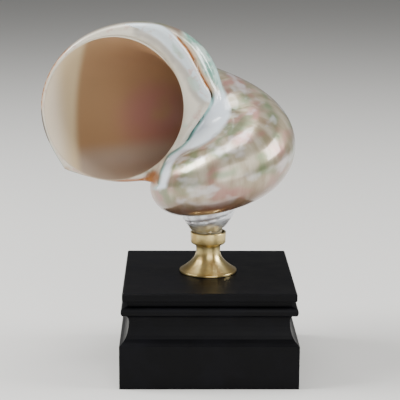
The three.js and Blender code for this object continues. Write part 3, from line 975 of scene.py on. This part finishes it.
def wood_material():
    """Satin black painted wood: a deep black with a faint grain and a little unevenness in its sheen."""
    made, add = material("satin black painted wood")
    point = add("TexCoord", out="Object")
    # Grain about 1 mm wide that runs along X, and uneven patches about 11 mm wide.
    drawn_out = add("VectorMath", [point, (60, 900, 900)], operation="MULTIPLY")
    grain = add("TexNoise", {"Vector": drawn_out, "Scale": 1.0, "Detail": 3.0, "Roughness": 0.6})
    dust = add("TexNoise", {"Vector": point, "Scale": 90, "Detail": 4.0, "Roughness": 0.6})
    finish_material(add, {
        "Base Color": painted(add, colour("#030305"), "#08080d", add("MapRange", [dust, 0.4, 0.8])),
        "Roughness": add("Math", [add("Math", [dust, 0.2], operation="MULTIPLY"), 0.32], operation="ADD"),
        "Specular IOR Level": 0.1,
        "Normal": add("Bump", {"Strength": 0.08, "Distance": 0.0003, "Height": grain}),
    })
    return made


class ShellSettings(bpy.types.PropertyGroup):
    growth: FloatProperty(name="Growth", description="Growth of the tube for each radian", default=0.148)
    tube_from_axis: FloatProperty(
        name="Tube from axis", description="Distance of the mouth's middle from the coiling axis",
        default=0.0288, unit="LENGTH")
    tube_above_tip: FloatProperty(
        name="Tube above tip", description="Height of the mouth's middle above the tip",
        default=0.0636, unit="LENGTH")
    tube_radius: FloatProperty(
        name="Tube radius", description="Radius of the tube at the mouth", default=0.0336, unit="LENGTH")
    lip_flare: FloatProperty(
        name="Lip flare", description="How far the lip opens beyond the spiral", default=0.1)


class CupSettings(bpy.types.PropertyGroup):
    foot_radius: FloatProperty(
        name="Foot radius", description="Radius of the foot that stands on the plinth",
        default=0.01265, unit="LENGTH")
    neck_radius: FloatProperty(
        name="Neck radius", description="Radius of the neck at its narrowest", default=0.0053, unit="LENGTH")
    cup_radius: FloatProperty(
        name="Cup radius", description="Outer radius of the cup", default=0.00785, unit="LENGTH")


class StageSettings(bpy.types.PropertyGroup):
    floor_size: FloatProperty(name="Floor size", description="Side of the floor", default=6.0, unit="LENGTH")
    floor_colour: FloatVectorProperty(
        name="Floor colour", description="Colour of the pale floor", subtype="COLOR", size=3,
        default=linear("#d9d8d4"), min=0, max=1)


class BuildShell(bpy.types.Operator):
    """Build the polished shell"""

    bl_idname = "turban.build_shell"
    bl_label = "Build the shell"

    def execute(self, context):
        settings = context.scene.turban_shell
        materials = [nacre_material(), throat_material()]
        piece = whorl(settings, MOUTH_PIECE, 0, MOUTH_ROWS, materials)
        piece.name = "polished_shell"
        boolean(piece, mouth_space(settings, materials), "DIFFERENCE")
        boolean(piece, whorl(settings, LAST_TURN_END, MOUTH_PIECE, LAST_TURN_ROWS, materials), "UNION")
        boolean(piece, whorl(settings, INNER_END, LAST_TURN_END, INNER_TURN_ROWS, materials), "UNION")
        boolean(piece, mouth_collar(settings, materials), "UNION")
        column = cylinder(COLUMN_RADIUS, 0, COLUMN_TOP, 24)
        column.data.transform(stand_matrix())
        boolean(piece, column, "UNION")
        boolean(piece, spire(settings, materials), "UNION")
        boolean(piece, throat_cutter(settings, materials), "DIFFERENCE")
        cut = cylinder(CUT_RADIUS, *CUT_HEIGHTS)
        boolean(cut, cylinder(WELL_RADIUS, *WELL_HEIGHTS), "DIFFERENCE")
        boolean(piece, cut, "DIFFERENCE")
        add_front_map(piece)
        activate(piece)
        bpy.ops.object.shade_smooth_by_angle(angle=SMOOTH_ANGLE)
        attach(piece, "root")
        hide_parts("shell")
        return {"FINISHED"}


class BuildCup(bpy.types.Operator):
    """Build the turned brass cup"""

    bl_idname = "turban.build_cup"
    bl_label = "Build the cup"

    def execute(self, context):
        piece = turned("turned_cup", cup_profile(context.scene.turban_cup))
        piece.data.materials.append(brass_material())
        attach(piece, "root")
        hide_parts("brass_cup")
        return {"FINISHED"}


class DressPlinth(bpy.types.Operator):
    """Give the plinth its finish"""

    bl_idname = "turban.dress_plinth"
    bl_label = "Dress the plinth"

    def execute(self, context):
        made = wood_material()
        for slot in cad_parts["plinth"].material_slots:
            slot.material = made
        return {"FINISHED"}


class BuildStage(bpy.types.Operator):
    """Set up the floor, the light and the camera"""

    bl_idname = "turban.build_stage"
    bl_label = "Build the stage"

    def execute(self, context):
        settings = context.scene.turban_stage
        deselect()
        bpy.ops.mesh.primitive_plane_add(size=settings.floor_size, location=(0, 0, 0))
        floor = bpy.context.object
        floor.name = "floor"
        made, add = material("pale floor")
        finish_material(add, {"Base Color": (*settings.floor_colour, 1), "Roughness": 0.7})
        floor.data.materials.append(made)
        world = context.scene.world or bpy.data.worlds.new("soft surround")
        context.scene.world = world
        world.use_nodes = True
        background = world.node_tree.nodes["Background"]
        background.inputs[0].default_value = colour("#dcdcdc")
        background.inputs[1].default_value = WORLD_STRENGTH
        for name, place, size, energy in LIGHTS:
            deselect()
            bpy.ops.object.light_add(type="AREA", location=place)
            light = bpy.context.object
            light.name = name
            light.data.size = size
            light.data.energy = energy
            aim = Vector((0, 0, LIGHT_AIM)) - light.location
            light.rotation_euler = aim.to_track_quat("-Z", "Y").to_euler()
        deselect()
        bpy.ops.object.camera_add(location=CAMERA_PLACE)
        camera = bpy.context.object
        camera.data.lens = CAMERA_LENS
        camera.data.sensor_width = 36
        camera.data.clip_start = 0.01
        side, tilt, roll = (math.radians(angle) for angle in (CAMERA_TURN, CAMERA_TILT, CAMERA_ROLL))
        forward = Vector((
            math.sin(side) * math.cos(tilt), math.cos(side) * math.cos(tilt), -math.sin(tilt)))
        turn = forward.to_track_quat("-Z", "Y").to_matrix()
        camera.rotation_euler = (turn @ Matrix.Rotation(roll, 3, "Z")).to_euler()
        context.scene.camera = camera
        return {"FINISHED"}


class ShellPanel(bpy.types.Panel):
    """Sizes, colours and steps of the shell and its stand"""

    bl_idname = "VIEW3D_PT_turban_shell"
    bl_label = "Turban shell"
    bl_space_type = "VIEW_3D"
    bl_region_type = "UI"
    bl_category = "Shell"

    def draw(self, context):
        layout = self.layout
        scene = context.scene
        for settings in (scene.turban_shell, scene.turban_cup, scene.turban_stage):
            for key in settings.__annotations__:
                layout.prop(settings, key)
        for step in STEPS:
            layout.operator(step.bl_idname)


STEPS = (BuildShell, BuildCup, DressPlinth, BuildStage)
CLASSES = (ShellSettings, CupSettings, StageSettings, *STEPS, ShellPanel)


def register():
    for cls in CLASSES:
        bpy.utils.register_class(cls)
    bpy.types.Scene.turban_shell = PointerProperty(type=ShellSettings)
    bpy.types.Scene.turban_cup = PointerProperty(type=CupSettings)
    bpy.types.Scene.turban_stage = PointerProperty(type=StageSettings)


def unregister():
    del bpy.types.Scene.turban_stage
    del bpy.types.Scene.turban_cup
    del bpy.types.Scene.turban_shell
    for cls in reversed(CLASSES):
        bpy.utils.unregister_class(cls)


def main():
    register()
    bpy.ops.turban.build_shell()
    bpy.ops.turban.build_cup()
    bpy.ops.turban.dress_plinth()
    bpy.ops.turban.build_stage()
    bpy.context.view_layer.update()


if __name__ == "__main__":
    main()
